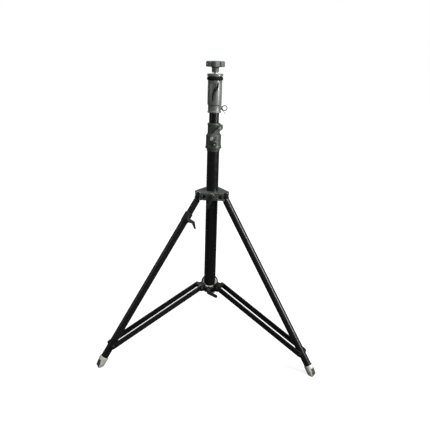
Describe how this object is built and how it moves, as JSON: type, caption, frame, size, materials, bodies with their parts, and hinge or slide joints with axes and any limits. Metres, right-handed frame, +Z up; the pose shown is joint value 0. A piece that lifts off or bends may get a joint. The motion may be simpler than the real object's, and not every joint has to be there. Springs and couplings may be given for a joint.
{
  "type": "crank lighting stand",
  "caption": "Three-legged telescopic lighting stand with cranked riser, lock collars, braced folding legs and a levelling leg",
  "frame": {"origin": "on the floor, on the axis of the column", "axes": "+Z up along the column, -Y towards the front, where the crank and the levers are, +X to the right seen from the front"},
  "size_m": [0.9088, 0.7872, 1.2207],
  "materials": {
    "black_tube": "semi-gloss black powder coat",
    "black_cast": "satin black paint on cast metal",
    "grey_cast": "grey satin cast aluminium",
    "spider_cast": "dark grey satin cast aluminium",
    "steel": "zinc plated",
    "black_steel": "black oxide",
    "brass": "machined",
    "nylon": "natural nylon",
    "knob_plastic": "moulded, lightly textured",
    "black_plastic": "moulded",
    "grip_plastic": "moulded grey",
    "rubber": "matt",
    "foot_cast": "silver grey cast",
    "friction": "pressed fibre"
  },
  "bodies": {
    "column": {"base_tube": "black_tube", "base_plug": "black_cast", "upper_spider": "spider_cast", "set_screws": "black_steel", "gear_housing": "grey_cast", "riser_guide": "nylon", "pinion_bushes": "brass", "brake_pad": "friction", "pivot_bolts": "black_steel"},
    "riser_1": {"riser_1_tube": "black_tube", "gear_rack": "steel", "riser_1_foot": "nylon", "lock_collar": "grey_cast", "collar_guide": "nylon", "latch_bracket": "black_steel"},
    "riser_2": {"riser_2_tube": "black_tube", "riser_2_foot": "nylon", "bumper_ring": "rubber", "top_plate": "grey_cast", "top_stud": "steel"},
    "washer": {"knob_washer": "steel"},
    "knob": {"hand_knob": "knob_plastic", "knob_insert": "brass"},
    "collar_lever": {"collar_lever": "black_steel", "collar_lever_bolt": "black_steel"},
    "latch": {"latch_plunger": "black_steel", "pull_ring": "black_steel"},
    "crank": {"crank_shaft": "steel", "pinion": "steel", "crank_arm": "grey_cast", "grip_spindle": "steel"},
    "crank_grip": {"crank_grip": "grip_plastic"},
    "brake_knob": {"brake_knob": "black_plastic", "brake_screw": "steel"},
    "upper_lever": {"upper_lever": "black_cast", "upper_lever_bolt": "black_steel"},
    "lower_spider": {"lower_spider": "black_cast", "lower_bush": "nylon", "brace_pins": "black_steel"},
    "lower_lever": {"lower_lever": "black_cast", "lower_lever_bolt": "black_steel"},
    "leg_1_pivot": {"pivot_bolt_1": "black_steel"},
    "leg_1_inner": {"leg_1_inner": "black_tube"},
    "leg_1_outer": {"leg_1_outer": "black_tube", "leg_clamp": "black_cast", "foot_1": "foot_cast", "brace_bolt_1": "black_steel"},
    "clamp_lever": {"clamp_lever": "black_cast", "clamp_screw": "black_steel"},
    "brace_1_pivot": {"brace_pin_1": "black_steel"},
    "brace_1": {"brace_1": "black_tube"},
    "leg_2": {"leg_2": "black_tube", "foot_2": "foot_cast", "brace_bolt_2": "black_steel"},
    "brace_2": {"brace_2": "black_tube"},
    "leg_3": {"leg_3": "black_tube", "foot_3": "foot_cast", "brace_bolt_3": "black_steel"},
    "brace_3": {"brace_3": "black_tube"}
  },
  "joints": [
    {"name": "leg_2_fold", "type": "hinge", "parent": "column", "child": "leg_2", "pos_m": [0.05023, -0.029, 0.6825], "axis": [0.5, 0.866, 0], "range_deg": [0, 24.5]},
    {"name": "leg_3_fold", "type": "hinge", "parent": "column", "child": "leg_3", "pos_m": [0, 0.058, 0.6825], "axis": [-1, 0, 0], "range_deg": [0, 24.5]},
    {"name": "leg_1_fold", "type": "hinge", "parent": "column", "child": "leg_1_pivot", "pos_m": [-0.05023, -0.029, 0.6825], "axis": [0.5, -0.866, 0], "range_deg": [0, 24.5]},
    {"name": "leg_1_tilt", "type": "hinge", "parent": "leg_1_pivot", "child": "leg_1_inner", "pos_m": [-0.05023, -0.029, 0.6825], "axis": [0.5, -0.866, 0], "range_deg": [0, 4.68]},
    {"name": "leg_1_level", "type": "slide", "parent": "leg_1_inner", "child": "leg_1_outer", "axis": [-0.4769, -0.2753, -0.8348], "range_m": [0, 0.03]},
    {"name": "brace_1_fold", "type": "hinge", "parent": "lower_spider", "child": "brace_1_pivot", "pos_m": [-0.04503, -0.026, 0.2744], "axis": [0.5, -0.866, 0], "range_deg": [0, 49.79]},
    {"name": "brace_1_tilt", "type": "hinge", "parent": "brace_1_pivot", "child": "brace_1", "pos_m": [-0.04503, -0.026, 0.2744], "axis": [0.5, -0.866, 0], "range_deg": [0, 8.11]},
    {"name": "brace_2_fold", "type": "hinge", "parent": "lower_spider", "child": "brace_2", "pos_m": [0.04503, -0.026, 0.2744], "axis": [0.5, 0.866, 0], "range_deg": [0, 49.79]},
    {"name": "brace_3_fold", "type": "hinge", "parent": "lower_spider", "child": "brace_3", "pos_m": [0, 0.052, 0.2744], "axis": [-1, 0, 0], "range_deg": [0, 49.79]},
    {"name": "lower_spider_slide", "type": "slide", "parent": "column", "child": "lower_spider", "axis": [0, 0, 1], "range_m": [0, 0.12977]},
    {"name": "upper_lever_turn", "type": "hinge", "parent": "column", "child": "upper_lever", "pos_m": [0, -0.05, 0.688], "axis": [0, -1, 0], "range_deg": [-20, 45]},
    {"name": "lower_lever_turn", "type": "hinge", "parent": "lower_spider", "child": "lower_lever", "pos_m": [-0.003, -0.05, 0.265], "axis": [0, -1, 0], "range_deg": [-75, 0]},
    {"name": "clamp_lever_turn", "type": "hinge", "parent": "leg_1_outer", "child": "clamp_lever", "pos_m": [-0.09114, -0.08149, 0.58901], "axis": [0.5, -0.866, 0], "range_deg": [-60, 60]},
    {"name": "riser_1_slide", "type": "slide", "parent": "column", "child": "riser_1", "axis": [0, 0, 1], "range_m": [0, 0.5]},
    {"name": "crank_turn", "type": "hinge", "parent": "column", "child": "crank", "pos_m": [0.0262, -0.03, 0.963], "axis": [0, 1, 0], "range_deg": [0, 3820.72]},
    {"name": "grip_spin", "type": "hinge", "parent": "crank", "child": "crank_grip", "pos_m": [-0.00569, -0.05, 0.9232], "axis": [0, -1, 0], "continuous": true},
    {"name": "brake_turn", "type": "hinge", "parent": "column", "child": "brake_knob", "pos_m": [0.006, -0.04, 0.898], "axis": [0, -1, 0], "range_deg": [0, 180]},
    {"name": "riser_2_slide", "type": "slide", "parent": "riser_1", "child": "riser_2", "axis": [0, 0, 1], "range_m": [0, 0.5]},
    {"name": "collar_lever_turn", "type": "hinge", "parent": "riser_1", "child": "collar_lever", "pos_m": [0.0056, -0.034, 1.115], "axis": [0, -1, 0], "range_deg": [0, 90]},
    {"name": "latch_pull", "type": "slide", "parent": "riser_1", "child": "latch", "axis": [1, 0, 0], "range_m": [0, 0.008], "stiffness_N_per_m": 400, "springref_m": -0.01},
    {"name": "knob_travel", "type": "slide", "parent": "riser_2", "child": "washer", "axis": [0, 0, 1], "range_m": [-0.00263, 0.0035]},
    {"name": "knob_turn", "type": "hinge", "parent": "washer", "child": "knob", "pos_m": [0, 0, 1.2], "axis": [0, 0, 1], "range_deg": [-540, 720]}
  ],
  "couplings": [
    {"joint": "leg_3_fold", "follows": "leg_2_fold", "ratio": 1},
    {"joint": "leg_1_fold", "follows": "leg_2_fold", "ratio": 1},
    {"joint": "brace_1_fold", "follows": "leg_2_fold", "ratio": 2.012},
    {"joint": "brace_2_fold", "follows": "leg_2_fold", "ratio": 2.012},
    {"joint": "brace_3_fold", "follows": "leg_2_fold", "ratio": 2.012},
    {"joint": "lower_spider_slide", "follows": "leg_2_fold", "m_per_rad": 0.2988},
    {"joint": "leg_1_tilt", "follows": "leg_1_level", "rad_per_m": 2.4322},
    {"joint": "brace_1_tilt", "follows": "leg_1_level", "rad_per_m": 4.604},
    {"joint": "crank_turn", "follows": "riser_1_slide", "rad_per_m": 133.33},
    {"joint": "knob_turn", "follows": "knob_travel", "rad_per_m": 3590.4}
  ]
}
